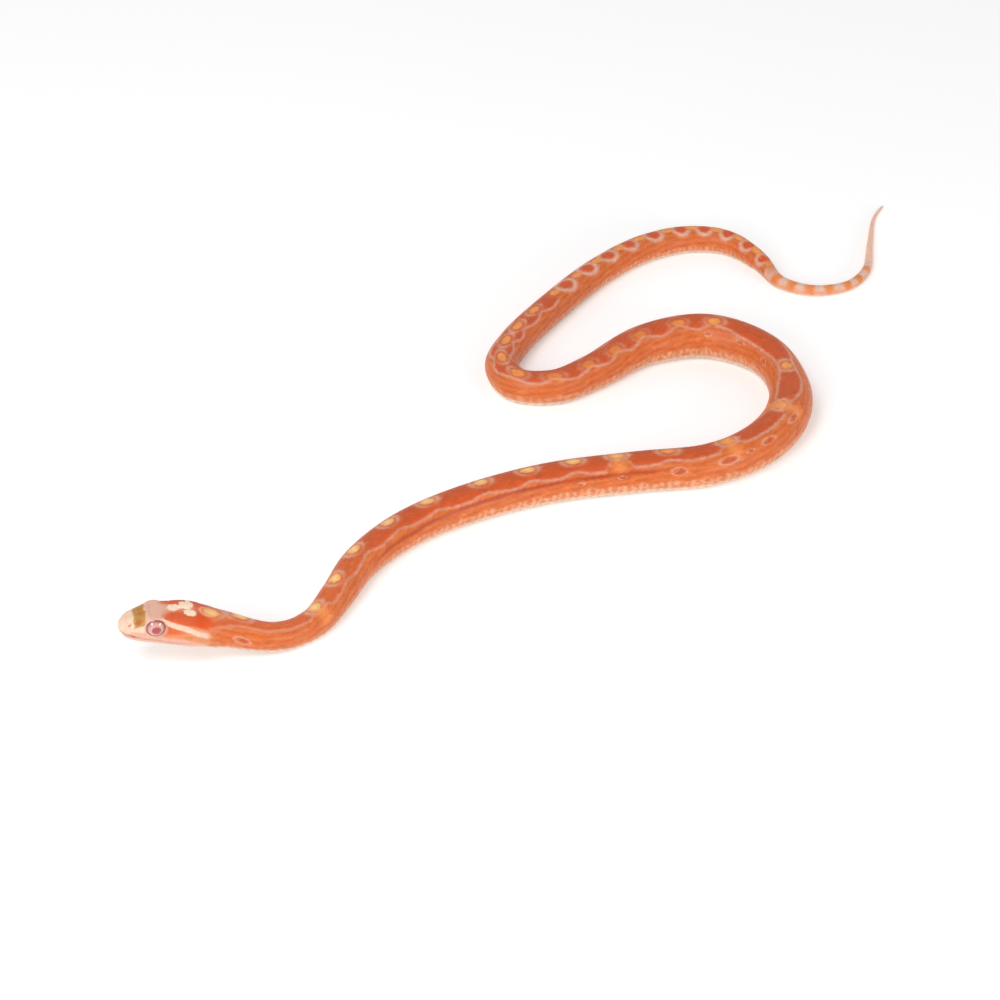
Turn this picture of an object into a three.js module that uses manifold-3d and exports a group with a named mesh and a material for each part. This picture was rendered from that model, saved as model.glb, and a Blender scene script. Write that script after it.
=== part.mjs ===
// A young corn snake at rest, life size, in millimetres, +Z up.
// The belly lies on the plane z = 0, the head is raised a little, and the origin is under the middle
// of the whole outline. Distances along the body are measured from the tip of the snout.
import * as THREE from 'three';
import { mergeVertices } from 'three/addons/utils/BufferGeometryUtils.js';
import Module from 'manifold-3d';

const wasm = await Module();
wasm.setup();

// Places that the middle of the belly passes, seen from above, from the snout to the tip of the tail
const ROUTE = [
  [-65.5, -71.6], [-57.8, -69.9], [-49.9, -68.8], [-42.2, -68.0], [-36.6, -64.0], [-33.2, -57.0],
  [-30.0, -48.7], [-23.2, -39.7], [-13.5, -32.6], [0.0, -26.5], [14.7, -23.3], [26.4, -21.3],
  [34.6, -15.9], [40.0, -7.5], [41.5, 2.7], [38.1, 13.5], [28.5, 19.3], [17.4, 16.6],
  [7.9, 8.0], [1.5, 3.6], [-4.8, 4.1], [-7.7, 10.0], [-5.5, 18.2], [1.3, 30.7],
  [10.2, 44.0], [18.4, 52.3], [26.5, 56.1], [34.0, 55.3], [39.8, 49.0], [43.1, 42.0],
  [48.5, 39.2], [55.1, 40.9], [59.1, 46.5], [61.0, 57.0], [62.9, 67.6], [65.2, 72.9],
];

// Width and height of the body at distances from the snout, behind the head
const GIRTH = [
  [12.5, 7.5, 5.2], [16, 6.0, 4.7], [20, 5.0, 4.2], [25, 4.6, 4.0], [31, 4.75, 4.1], [42, 5.5, 4.8],
  [62, 6.4, 5.4], [84, 6.9, 5.8], [112, 7.3, 6.1], [134, 7.7, 6.4], [148, 7.0, 6.0], [167, 8.1, 6.9],
  [190, 6.5, 5.6], [210, 5.9, 5.1], [250, 5.5, 4.7], [274, 5.1, 4.4], [284, 4.0, 3.5], [292, 2.65, 2.4],
  [304, 2.0, 1.8], [314, 1.7, 1.55], [324, 1.25, 1.15], [334, 0.8, 0.75], [343, 0.42, 0.42],
];

// The head: distance from the snout, half width, height of the crown and of the chin over the jaw
// line, and how rounded the upper edges are
const HEAD = [
  [0.15, 0.95, 3.0, 1.5, 0.8], [0.7, 1.7, 3.7, 0.75, 0.74], [1.8, 2.25, 4.3, 0.3, 0.68],
  [3.4, 2.65, 4.85, 0.05, 0.6], [5.6, 3.05, 5.2, 0, 0.56], [8.2, 3.65, 5.5, 0, 0.66],
  [10.4, 3.95, 5.5, 0, 0.74], [12.5, 3.75, 5.2, 0, 0.82],
];

const JAW_ROUNDNESS = 0.78;
const HEAD_LENGTH = 12.5;
const HEAD_HEIGHT_AT_NECK = 2.8;
const HEAD_PITCH = 0.17;
const FLOOR_CONTACT = 28.5;
const NECK_END = 37;
const VENT = 284.5;
const BELLY_FLAT_SHARE = 0.42;
const FLAT_TURN = 0.4;
const FLANK_HEIGHT_SHARE = 0.47;
const BACK_FULLNESS = 0.93;
const SIDES = 20;
const RING_STEP = 3;
const CUT = 0.3;

// Trunk and tail, each length named by where it ends
const TRUNK_ENDS = [72, 108, 132, 153, 170, 199, 209, 247, VENT];
const TAIL_ENDS = [301, 317];

const MOUTH_LINE = [[-1, 1.9], [1, 1.72], [3.5, 1.45], [5, 1.35], [7, 1.4], [10.2, 1.7], [11.2, 1.7]];
const JAW_HINGE = 11.2;

const EYE_DISTANCE = 5.1;
const EYE_HEIGHT = 3.5;
const EYE_SIDE = 1.85;
const EYE_RADIUS = 1.6;
const EYE_DEPTH = 1.4;

const ORANGE = '#cf5a2c';
const FLAME = '#d96a34';
const PINK = '#e8b9a6';
const EYE_RED = '#a23a48';

const routePoints = ROUTE.map(([x, y]) => new THREE.Vector3(x, y, 0));
const route = new THREE.CatmullRomCurve3(routePoints, false, 'centripetal');
route.arcLengthDivisions = 3000;
const LENGTH = route.getLength();

function smoothTable(table, column, distance) {
  const last = table.length - 1;
  if (distance <= table[0][0]) return table[0][column];
  if (distance >= table[last][0]) return table[last][column];
  const row = table.findIndex(([place]) => place > distance) - 1;
  const slope = (k) => {
    const before = table[Math.max(k - 1, 0)];
    const after = table[Math.min(k + 1, last)];
    return (after[column] - before[column]) / (after[0] - before[0]);
  };
  const [start, end] = [table[row], table[row + 1]];
  const span = end[0] - start[0];
  const t = (distance - start[0]) / span;
  const rise = end[column] - start[column];
  const bend = (1 - t) * (slope(row) * span - rise) - t * (slope(row + 1) * span - rise);
  return start[column] + rise * t + t * (1 - t) * bend;
}

// Height of the belly over the floor: a straight raised head and a neck that comes down smoothly
function lift(distance) {
  if (distance >= FLOOR_CONTACT) return 0;
  if (distance <= HEAD_LENGTH) return HEAD_HEIGHT_AT_NECK + (HEAD_LENGTH - distance) * HEAD_PITCH;
  const span = FLOOR_CONTACT - HEAD_LENGTH;
  const t = (distance - HEAD_LENGTH) / span;
  const level = (2 * t ** 3 - 3 * t ** 2 + 1) * HEAD_HEIGHT_AT_NECK;
  return level - (t ** 3 - 2 * t ** 2 + t) * span * HEAD_PITCH;
}

function spineAt(distance) {
  const share = THREE.MathUtils.clamp(distance / LENGTH, 0, 1);
  const origin = route.getPointAt(share);
  const along = route.getTangentAt(share).setZ(0).normalize();
  const side = new THREE.Vector3(-along.y, along.x, 0);
  const reach = 0.05;
  along.z = distance < FLOOR_CONTACT ? (lift(distance + reach) - lift(distance - reach)) / (2 * reach) : 0;
  along.normalize();
  const up = new THREE.Vector3().crossVectors(along, side);
  origin.z = lift(distance);
  return { origin, side, up };
}

// A loaf-shaped section: flat belly, rounded lower edges, domed back
function bodySection(distance, turn) {
  const half = smoothTable(GIRTH, 1, distance) / 2;
  const height = smoothTable(GIRTH, 2, distance);
  const flank = height * FLANK_HEIGHT_SHARE;
  const across = Math.sin(turn);
  const down = Math.cos(turn);
  if (down > 0) {
    const flat = half * BELLY_FLAT_SHARE;
    const out = Math.abs(across);
    const corner = (Math.max(out - FLAT_TURN, 0) / (1 - FLAT_TURN)) * (Math.PI / 2);
    const reach = Math.min(out / FLAT_TURN, 1) * flat + (half - flat) * Math.sin(corner);
    return [Math.sign(across) * reach, flank * (1 - Math.cos(corner))];
  }
  const rise = Math.abs(down) ** BACK_FULLNESS * (height - flank);
  return [Math.sign(across) * Math.abs(across) ** BACK_FULLNESS * half, flank + rise];
}

// The head's section: full cheeks, a flatter crown and a narrower jaw
function headSection(distance, turn) {
  const half = smoothTable(HEAD, 1, distance);
  const crown = smoothTable(HEAD, 2, distance);
  const chin = smoothTable(HEAD, 3, distance);
  const middle = chin + (crown - chin) * 0.45;
  const across = Math.sin(turn);
  const down = Math.cos(turn);
  const roundness = down > 0 ? JAW_ROUNDNESS : smoothTable(HEAD, 4, distance);
  const reach = Math.sign(across) * Math.abs(across) ** roundness * half;
  const rise = Math.abs(down) ** roundness;
  return [reach, down > 0 ? middle - rise * (middle - chin) : middle + rise * (crown - middle)];
}

// Joins rings of points into one closed mesh, capped at both ends
function loft(rings) {
  const sides = rings[0].length;
  const points = rings.flat();
  const faces = [];
  for (let ring = 0; ring + 1 < rings.length; ring += 1) {
    for (let k = 0; k < sides; k += 1) {
      const a = ring * sides + k;
      const b = ring * sides + (k + 1) % sides;
      faces.push(a, b, a + sides, b, b + sides, a + sides);
    }
  }
  const lastRing = (rings.length - 1) * sides;
  for (let k = 1; k + 1 < sides; k += 1) {
    faces.push(0, k + 1, k, lastRing, lastRing + k, lastRing + k + 1);
  }
  const geometry = new THREE.BufferGeometry();
  const positions = points.flatMap((point) => [point.x, point.y, point.z]);
  geometry.setAttribute('position', new THREE.Float32BufferAttribute(positions, 3));
  geometry.setIndex(faces);
  return geometry;
}

function ringAt(distance, section) {
  const { origin, side, up } = spineAt(distance);
  const points = [];
  for (let k = 0; k < SIDES; k += 1) {
    const [across, rise] = section(distance, (k / SIDES) * Math.PI * 2);
    points.push(origin.clone().addScaledVector(side, across).addScaledVector(up, rise));
  }
  return points;
}

function bodyLength(start, end) {
  const steps = Math.max(2, Math.round((end - start) / RING_STEP));
  const rings = [];
  for (let step = 0; step <= steps; step += 1) {
    rings.push(ringAt(start + ((end - start) * step) / steps, bodySection));
  }
  return loft(rings);
}

function solid(geometry) {
  const bare = geometry.clone();
  bare.deleteAttribute('normal');
  bare.deleteAttribute('uv');
  const merged = mergeVertices(bare, 1e-5);
  return new wasm.Manifold(new wasm.Mesh({
    numProp: 3,
    vertProperties: new Float32Array(merged.attributes.position.array),
    triVerts: new Uint32Array(merged.index.array),
  }));
}

function fromSolid(body) {
  const mesh = body.getMesh();
  const geometry = new THREE.BufferGeometry();
  geometry.setAttribute('position', new THREE.BufferAttribute(mesh.vertProperties, 3));
  geometry.setIndex(new THREE.BufferAttribute(mesh.triVerts, 1));
  return geometry;
}

function headWhole() {
  const places = [0.15, 0.4, 0.8, 1.3, 2, 3, 4, 5, 6, 7, 8, 9, 10, 11, HEAD_LENGTH - CUT / 2];
  return loft(places.map((distance) => ringAt(distance, headSection)));
}

// A block as wide as the head, under the mouth line and before the jaw hinge, grown by a margin
function jawBlock(margin) {
  const shape = new THREE.Shape();
  shape.moveTo(-2, -3);
  shape.lineTo(JAW_HINGE + margin, -3);
  shape.lineTo(JAW_HINGE + margin, MOUTH_LINE.at(-1)[1] + margin);
  [...MOUTH_LINE].reverse().forEach(([distance, height]) => shape.lineTo(distance, height + margin));
  shape.lineTo(-2, MOUTH_LINE[0][1] + margin);
  shape.closePath();
  const width = 12;
  const block = new THREE.ExtrudeGeometry(shape, { depth: width, bevelEnabled: false, steps: 1 });
  block.translate(0, 0, -width / 2);
  return placeOnHead(block);
}

// Moves a shape drawn as (distance from the snout, height, side) onto the raised head
function placeOnHead(geometry) {
  const { origin, side, up } = spineAt(HEAD_LENGTH / 2);
  const along = new THREE.Vector3().crossVectors(side, up);
  const frame = new THREE.Matrix4().makeBasis(along, up, side.clone().negate());
  frame.setPosition(origin.addScaledVector(along, -HEAD_LENGTH / 2));
  return geometry.applyMatrix4(frame);
}

function eyeBall(sign, margin) {
  const ball = new THREE.SphereGeometry(1, 16, 12);
  ball.scale(EYE_RADIUS + margin, EYE_RADIUS + margin, EYE_DEPTH + margin);
  ball.translate(EYE_DISTANCE, EYE_HEIGHT, sign * EYE_SIDE);
  return placeOnHead(ball);
}

function node(name, geometry, color, roughness) {
  const material = new THREE.MeshStandardMaterial({ color, roughness, metalness: 0, flatShading: true });
  const mesh = new THREE.Mesh(geometry, material);
  mesh.name = name;
  return mesh;
}

const snake = new THREE.Group();

function addHead() {
  const whole = solid(headWhole());
  const sockets = solid(eyeBall(1, CUT)).add(solid(eyeBall(-1, CUT)));
  const skull = whole.subtract(solid(jawBlock(CUT))).subtract(sockets);
  const jaw = whole.intersect(solid(jawBlock(0))).subtract(sockets);
  snake.add(node('head', fromSolid(skull), PINK, 0.45));
  snake.add(node('lower_jaw', fromSolid(jaw), PINK, 0.45));
  snake.add(node('eye_left', eyeBall(1, 0), EYE_RED, 0.08));
  snake.add(node('eye_right', eyeBall(-1, 0), EYE_RED, 0.08));
}

function addLengths(name, start, ends, color) {
  ends.forEach((end, index) => {
    const from = index === 0 ? start : ends[index - 1];
    const label = ends.length > 1 ? `${name}_${index + 1}` : name;
    snake.add(node(label, bodyLength(from + CUT / 2, end - CUT / 2), color, 0.5));
  });
}

addHead();
addLengths('neck', HEAD_LENGTH, [NECK_END], ORANGE);
addLengths('trunk', NECK_END, TRUNK_ENDS, ORANGE);
addLengths('tail', VENT, [...TAIL_ENDS, LENGTH], FLAME);

export default snake;
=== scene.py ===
"""A life-size still model of a young corn snake: one skin, separate scales, belly plates and eyes."""
import math

import bpy
import numpy as np
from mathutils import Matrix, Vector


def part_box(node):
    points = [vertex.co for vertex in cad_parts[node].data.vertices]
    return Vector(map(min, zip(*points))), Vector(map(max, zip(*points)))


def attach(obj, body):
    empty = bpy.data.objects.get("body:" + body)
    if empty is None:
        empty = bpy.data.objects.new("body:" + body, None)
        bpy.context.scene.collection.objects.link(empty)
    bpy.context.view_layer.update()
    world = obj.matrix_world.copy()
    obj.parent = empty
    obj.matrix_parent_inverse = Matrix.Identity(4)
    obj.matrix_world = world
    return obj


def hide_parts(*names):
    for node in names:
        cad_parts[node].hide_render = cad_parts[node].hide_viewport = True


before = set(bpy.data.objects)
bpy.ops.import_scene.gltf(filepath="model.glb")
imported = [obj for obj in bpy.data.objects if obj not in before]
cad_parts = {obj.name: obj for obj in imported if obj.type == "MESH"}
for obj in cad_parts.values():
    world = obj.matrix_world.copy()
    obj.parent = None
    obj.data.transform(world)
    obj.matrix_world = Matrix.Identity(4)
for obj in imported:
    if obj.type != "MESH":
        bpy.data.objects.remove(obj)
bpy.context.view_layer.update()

MM = 0.001

# The shape, in millimetres, as the solids have it: distances run from the snout along the body
ROUTE = np.array([
    [-65.5, -71.6], [-57.8, -69.9], [-49.9, -68.8], [-42.2, -68.0], [-36.6, -64.0], [-33.2, -57.0],
    [-30.0, -48.7], [-23.2, -39.7], [-13.5, -32.6], [0.0, -26.5], [14.7, -23.3], [26.4, -21.3],
    [34.6, -15.9], [40.0, -7.5], [41.5, 2.7], [38.1, 13.5], [28.5, 19.3], [17.4, 16.6],
    [7.9, 8.0], [1.5, 3.6], [-4.8, 4.1], [-7.7, 10.0], [-5.5, 18.2], [1.3, 30.7],
    [10.2, 44.0], [18.4, 52.3], [26.5, 56.1], [34.0, 55.3], [39.8, 49.0], [43.1, 42.0],
    [48.5, 39.2], [55.1, 40.9], [59.1, 46.5], [61.0, 57.0], [62.9, 67.6], [65.2, 72.9],
])

# Distance, width and height of the body behind the head
GIRTH = np.array([
    [12.5, 7.5, 5.2], [16, 6.0, 4.7], [20, 5.0, 4.2], [25, 4.6, 4.0], [31, 4.75, 4.1],
    [42, 5.5, 4.8], [62, 6.4, 5.4], [84, 6.9, 5.8], [112, 7.3, 6.1], [134, 7.7, 6.4],
    [148, 7.0, 6.0], [167, 8.1, 6.9], [190, 6.5, 5.6], [210, 5.9, 5.1], [250, 5.5, 4.7],
    [274, 5.1, 4.4], [284, 4.0, 3.5], [292, 2.65, 2.4], [304, 2.0, 1.8], [314, 1.7, 1.55],
    [324, 1.25, 1.15], [334, 0.8, 0.75], [343, 0.42, 0.42],
])

# The head: distance, half width, height of crown and of chin, roundness of the upper edges
HEAD = np.array([
    [0.15, 0.95, 3.0, 1.5, 0.8], [0.7, 1.7, 3.7, 0.75, 0.74], [1.8, 2.25, 4.3, 0.3, 0.68],
    [3.4, 2.65, 4.85, 0.05, 0.6], [5.6, 3.05, 5.2, 0, 0.56], [8.2, 3.65, 5.5, 0, 0.66],
    [10.4, 3.95, 5.5, 0, 0.74], [12.5, 3.75, 5.2, 0, 0.82],
])
JAW_ROUNDNESS = 0.78
HEAD_LENGTH = 12.5
HEAD_HEIGHT_AT_NECK = 2.8
HEAD_PITCH = 0.17
FLOOR_CONTACT = 28.5
VENT = 284.5
BELLY_FLAT_SHARE = 0.42
FLAT_TURN = 0.4
FLANK_HEIGHT_SHARE = 0.47
BACK_FULLNESS = 0.93
HEAD_MIDDLE_SHARE = 0.45

MOUTH_LINE = np.array([[-1, 1.9], [1, 1.72], [3.5, 1.45], [5, 1.35], [7, 1.4], [10.2, 1.7], [11.2, 1.7]])
EYES = ("eye_left", "eye_right")
EYE_DEPTH = 1.4
DOME_CURVE = 1.875

# The dome of the snout before the first section of the head
SNOUT_START = 0.15
SNOUT_DOME = 0.32
SNOUT_MIDDLE = 2.25

# Depth of the coat: how far the skin lies inside the solids under the scales and on the head
COAT_DEPTH = 0.09
HEAD_SKIN_DEPTH = 0.03
TAIL_TAPER = 1.2


def step_between(low, high, value):
    """A smooth rise from 0 at low to 1 at high."""
    share = np.clip((value - low) / (high - low), 0, 1)
    return share * share * (3 - 2 * share)


def smooth_table(table, column, place):
    """A smooth curve through one column of a table, by the place in its first column."""
    places = table[:, 0]
    values = table[:, column]
    slopes = np.empty(len(places))
    slopes[1:-1] = (values[2:] - values[:-2]) / (places[2:] - places[:-2])
    slopes[0] = (values[1] - values[0]) / (places[1] - places[0])
    slopes[-1] = (values[-1] - values[-2]) / (places[-1] - places[-2])
    row = np.clip(np.searchsorted(places, place, side="right") - 1, 0, len(places) - 2)
    span = places[row + 1] - places[row]
    share = np.clip((place - places[row]) / span, 0, 1)
    rise = values[row + 1] - values[row]
    bend = (1 - share) * (slopes[row] * span - rise) - share * (slopes[row + 1] * span - rise)
    return values[row] + rise * share + share * (1 - share) * bend


def curve_through(points, steps):
    """Points on the centripetal Catmull-Rom curve through the given places."""
    ends = np.vstack([2 * points[0] - points[1], points, 2 * points[-1] - points[-2]])
    share = np.arange(steps)[:, None] / steps
    parts = []
    for k in range(1, len(ends) - 2):
        before, start, end, after = ends[k - 1:k + 3]
        gap_a, gap_b, gap_c = (np.linalg.norm(b - a) ** 0.5
                               for a, b in ((before, start), (start, end), (end, after)))
        leave = (start - before) / gap_a - (end - before) / (gap_a + gap_b) + (end - start) / gap_b
        arrive = (end - start) / gap_b - (after - start) / (gap_b + gap_c) + (after - end) / gap_c
        leave = leave * gap_b
        arrive = arrive * gap_b
        square = -3 * start + 3 * end - 2 * leave - arrive
        cube = 2 * start - 2 * end + leave + arrive
        parts.append(start + leave * share + square * share ** 2 + cube * share ** 3)
    return np.vstack(parts + [points[-1:]])


ROUTE_POINTS = curve_through(ROUTE, 80)
ROUTE_ARC = np.concatenate([[0], np.cumsum(np.hypot(*np.diff(ROUTE_POINTS, axis=0).T))])
LENGTH = ROUTE_ARC[-1]
STATION_STEP = 0.25
STATIONS = np.arange(-0.5, LENGTH + 0.5, STATION_STEP)
ROUND_SAMPLES = 257


def floor_gap(distance):
    """Height of the belly over the floor, under the raised head and neck."""
    span = FLOOR_CONTACT - HEAD_LENGTH
    share = np.clip((distance - HEAD_LENGTH) / span, 0, 1)
    level = (2 * share ** 3 - 3 * share ** 2 + 1) * HEAD_HEIGHT_AT_NECK
    neck = level - (share ** 3 - 2 * share ** 2 + share) * span * HEAD_PITCH
    head = HEAD_HEIGHT_AT_NECK + (HEAD_LENGTH - distance) * HEAD_PITCH
    return np.where(distance <= HEAD_LENGTH, head, neck)


def route_place(distance):
    """The middle of the belly seen from above, run on straight past both ends."""
    first = ROUTE_POINTS[1] - ROUTE_POINTS[0]
    last = ROUTE_POINTS[-1] - ROUTE_POINTS[-2]
    place = np.stack([np.interp(distance, ROUTE_ARC, ROUTE_POINTS[:, k]) for k in (0, 1)], -1)
    place += np.minimum(distance, 0)[:, None] * first / np.linalg.norm(first)
    return place + np.maximum(distance - LENGTH, 0)[:, None] * last / np.linalg.norm(last)


def spine_tables():
    """Origin, direction to the snake's own left, and up, at every station."""
    reach = 0.2
    flat = route_place(STATIONS + reach) - route_place(STATIONS - reach)
    flat /= np.linalg.norm(flat, axis=1, keepdims=True)
    slope = (floor_gap(STATIONS + reach) - floor_gap(STATIONS - reach)) / (2 * reach)
    along = np.column_stack([flat, slope])
    along /= np.linalg.norm(along, axis=1, keepdims=True)
    right = np.column_stack([-flat[:, 1], flat[:, 0], np.zeros(len(STATIONS))])
    origin = np.column_stack([route_place(STATIONS), floor_gap(STATIONS)])
    return origin, -right, np.cross(along, right)


def half_sections():
    """Half outlines at every station, from mid-back to mid-belly, evenly spaced round the girth."""
    turn = np.linspace(0, math.pi, 2 * ROUND_SAMPLES)[None, :]
    place = STATIONS[:, None]
    out = np.sin(turn)
    rise = np.cos(turn)
    body_place = np.maximum(place, HEAD_LENGTH)
    half = smooth_table(GIRTH, 1, body_place) / 2
    height = smooth_table(GIRTH, 2, body_place)
    flank = height * FLANK_HEIGHT_SHARE
    flat = half * BELLY_FLAT_SHARE
    corner = np.clip((out - FLAT_TURN) / (1 - FLAT_TURN), 0, 1) * math.pi / 2
    low_out = np.minimum(out / FLAT_TURN, 1) * flat + (half - flat) * np.sin(corner)
    body_out = np.where(rise < 0, low_out, out ** BACK_FULLNESS * half)
    back = flank + np.abs(rise) ** BACK_FULLNESS * (height - flank)
    body_rise = np.where(rise < 0, flank * (1 - np.cos(corner)), back)
    head_place = np.clip(place, SNOUT_START, HEAD_LENGTH)
    crown = smooth_table(HEAD, 2, head_place)
    chin = smooth_table(HEAD, 3, head_place)
    middle = chin + (crown - chin) * HEAD_MIDDLE_SHARE
    roundness = np.where(rise < 0, JAW_ROUNDNESS, smooth_table(HEAD, 4, head_place))
    head_out = out ** roundness * smooth_table(HEAD, 1, head_place)
    share = np.abs(rise) ** roundness
    head_rise = np.where(rise < 0, middle - share * (middle - chin), middle + share * (crown - middle))
    joined = step_between(11.0, 14.0, place)
    across = head_out * (1 - joined) + body_out * joined
    tall = head_rise * (1 - joined) + body_rise * joined
    across_even = np.empty((len(STATIONS), ROUND_SAMPLES))
    tall_even = np.empty_like(across_even)
    girth = np.empty(len(STATIONS))
    even = np.linspace(0, 1, ROUND_SAMPLES)
    for k in range(len(STATIONS)):
        walked = np.concatenate([[0], np.cumsum(np.hypot(np.diff(across[k]), np.diff(tall[k])))])
        girth[k] = walked[-1]
        across_even[k] = np.interp(even, walked / walked[-1], across[k])
        tall_even[k] = np.interp(even, walked / walked[-1], tall[k])
    return across_even, tall_even, girth


ORIGINS, LEFTS, UPS = spine_tables()
ACROSS, TALL, HALF_GIRTHS = half_sections()


def half_girth(distance):
    return np.interp(distance, STATIONS, HALF_GIRTHS)


def section_place(distance, share):
    """Side and height on the outline; share runs from 0 on the back to 1 or -1 under the belly."""
    row = np.clip((distance - STATIONS[0]) / STATION_STEP, 0, len(STATIONS) - 1.001)
    column = np.minimum(np.abs(share), 1) * (ROUND_SAMPLES - 1.001)
    i, j = row.astype(int), column.astype(int)
    f, g = row - i, column - j
    weights = ((1 - f) * (1 - g), f * (1 - g), (1 - f) * g, f * g)
    corners = ((i, j), (i + 1, j), (i, j + 1), (i + 1, j + 1))
    across = sum(w * ACROSS[c] for w, c in zip(weights, corners))
    tall = sum(w * TALL[c] for w, c in zip(weights, corners))
    return across * np.sign(share), tall


def surface(distance, share):
    """A point on the smooth outside of the body."""
    across, tall = section_place(distance, share)
    dome = np.clip((SNOUT_START - distance) / SNOUT_DOME, 0, 1)
    shrink = np.where(distance < SNOUT_START, np.sqrt(1 - dome ** 2), 1)
    shrink = np.where(distance > LENGTH - TAIL_TAPER,
                      np.sqrt(np.clip((LENGTH - distance) / TAIL_TAPER, 0, 1)), shrink)
    across = across * shrink
    tail = distance > LENGTH / 2
    middle = np.where(tail, tall * 0.5 + 0.12, SNOUT_MIDDLE)
    tall = middle + (tall - middle) * shrink
    parts = []
    for k in range(3):
        origin = np.interp(distance, STATIONS, ORIGINS[:, k])
        left = np.interp(distance, STATIONS, LEFTS[:, k])
        up = np.interp(distance, STATIONS, UPS[:, k])
        parts.append(origin + left * across + up * tall)
    return np.stack(parts, -1)


def outward(distance, share):
    """The direction out of the body at a point of its surface."""
    back = surface(distance - 0.06, share)
    front = surface(distance + 0.06, share)
    one = surface(distance, np.clip(share - 0.004, -1, 1))
    other = surface(distance, np.clip(share + 0.004, -1, 1))
    normal = np.cross(other - one, front - back)
    return normal / (np.linalg.norm(normal, axis=-1, keepdims=True) + 1e-9)


def raised(distance, share, height):
    """Points at a height over the surface."""
    return surface(distance, share) + outward(distance, share) * height[:, None]


def coat_depth(distance):
    slim = np.clip(np.interp(distance, GIRTH[:, 0], GIRTH[:, 1]) / 5, 0.35, 1)
    on_head = step_between(13.0, 11.0, distance)
    return COAT_DEPTH * slim * (1 - on_head) + HEAD_SKIN_DEPTH * on_head


def eye_axes(side_name):
    """Centre and directions (along, up, outward) of an eye, from its solid and the head's frame."""
    low, high = (np.array(corner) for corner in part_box(side_name))
    centre = (low + high) / 2 / MM
    row = int((HEAD_LENGTH / 2 - STATIONS[0]) / STATION_STEP)
    up = UPS[row]
    left = LEFTS[row]
    out = left if side_name == "eye_left" else -left
    return centre, np.cross(up, left), up, out


# Seams between the head's plates: (distance from the snout, place between mid-crown 0, lip 1 and mid-chin 2)
CROWN_SEAMS = [
    [(0.85, 0.0), (0.82, 0.35), (0.62, 0.7), (0.7, 1.0)],
    [(0.85, 0.0), (4.3, 0.0)],
    [(0.82, 0.38), (1.5, 0.44), (2.25, 0.45), (2.9, 0.54), (4.2, 0.54)],
    [(2.3, 0.0), (2.25, 0.45)],
    [(4.3, 0.0), (4.4, 0.3), (4.2, 0.54)],
    [(4.35, 0.26), (6.4, 0.22), (7.6, 0.17), (8.4, 0.0)],
    [(4.2, 0.54), (5.2, 0.5), (6.6, 0.5), (7.4, 0.42), (7.6, 0.17)],
    [(8.4, 0.0), (11.8, 0.0)],
    [(7.4, 0.42), (8.0, 0.5), (9.6, 0.52), (11.0, 0.44), (11.9, 0.24)],
    [(0.7, 0.82), (2.55, 0.82), (3.7, 0.83), (5.2, 0.87), (6.8, 0.84), (8.8, 0.81), (11.4, 0.8)],
    [(1.5, 0.44), (1.3, 0.62), (1.55, 0.82)],
    [(2.45, 0.46), (2.6, 0.82)],
    [(3.55, 0.54), (3.7, 0.83)],
    [(7.3, 0.44), (7.2, 0.63), (7.4, 0.83)],
    [(6.6, 0.63), (9.3, 0.66)],
    [(9.2, 0.52), (9.4, 0.81)],
    [(9.3, 0.6), (11.0, 0.58)],
    [(9.35, 0.72), (11.1, 0.71)],
    [(10.9, 0.46), (11.2, 0.8)],
]
LIP_SEAM_PLACES = (1.6, 2.6, 3.6, 4.6, 5.8, 7.2, 8.9, 10.5)
JAW_SEAMS = [
    [(0.9, 2.0), (1.5, 1.55), (0.7, 1.12), (0.5, 1.0)],
    [(0.9, 1.42), (3.0, 1.4), (6.5, 1.36), (10.5, 1.3)],
    [(0.9, 2.0), (6.8, 2.0)],
    [(1.5, 1.55), (4.2, 1.66), (6.9, 1.72), (7.3, 1.9), (6.9, 2.0)],
    [(4.1, 2.0), (4.3, 1.66)],
]
JAW_SEAM_PLACES = (1.5, 2.3, 3.2, 4.2, 5.3, 6.6, 8.0, 9.4)
SEAM_DEPTH = 0.05
SEAM_WIDTH = 0.06
PLATE_CROWN = 0.045
PLATE_ROUNDING = 0.3
MOUTH_DEPTH = 0.16
MOUTH_WIDTH = 0.075


def lip_table():
    """Girth from mid-crown to the lip, at the head's stations."""
    rows = [k for k in range(len(STATIONS)) if 0.1 < STATIONS[k] < 13.5]
    even = np.linspace(0, 1, ROUND_SAMPLES)
    lips = []
    for k in rows:
        mouth = np.interp(STATIONS[k], MOUTH_LINE[:, 0], MOUTH_LINE[:, 1])
        lips.append(np.interp(-mouth, -TALL[k], even) * HALF_GIRTHS[k])
    return STATIONS[rows], np.array(lips)


LIP_PLACES, LIP_GIRTHS = lip_table()


def plate_chart(place, share):
    """Millimetres round the girth for a share of the way from mid-crown to lip to mid-chin."""
    lip = np.interp(place, LIP_PLACES, LIP_GIRTHS)
    return np.where(share <= 1, share * lip, lip + (share - 1) * (half_girth(place) - lip))


def seam_pieces():
    """All plate seams as short straight pieces in millimetres."""
    seams = CROWN_SEAMS + JAW_SEAMS
    seams = seams + [[(place, 0.82), (place + 0.12, 1.0)] for place in LIP_SEAM_PLACES]
    seams = seams + [[(place, 1.0), (place + 0.15, 1.4)] for place in JAW_SEAM_PLACES]
    pieces = []
    for seam in seams:
        for (start, share_a), (end, share_b) in zip(seam, seam[1:]):
            ways = np.linspace(0, 1, 7)
            places = start + (end - start) * ways
            shares = share_a + (share_b - share_a) * ways
            line = np.column_stack([places, plate_chart(places, shares)])
            pieces.extend(zip(line[:-1], line[1:]))
    return pieces


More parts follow.
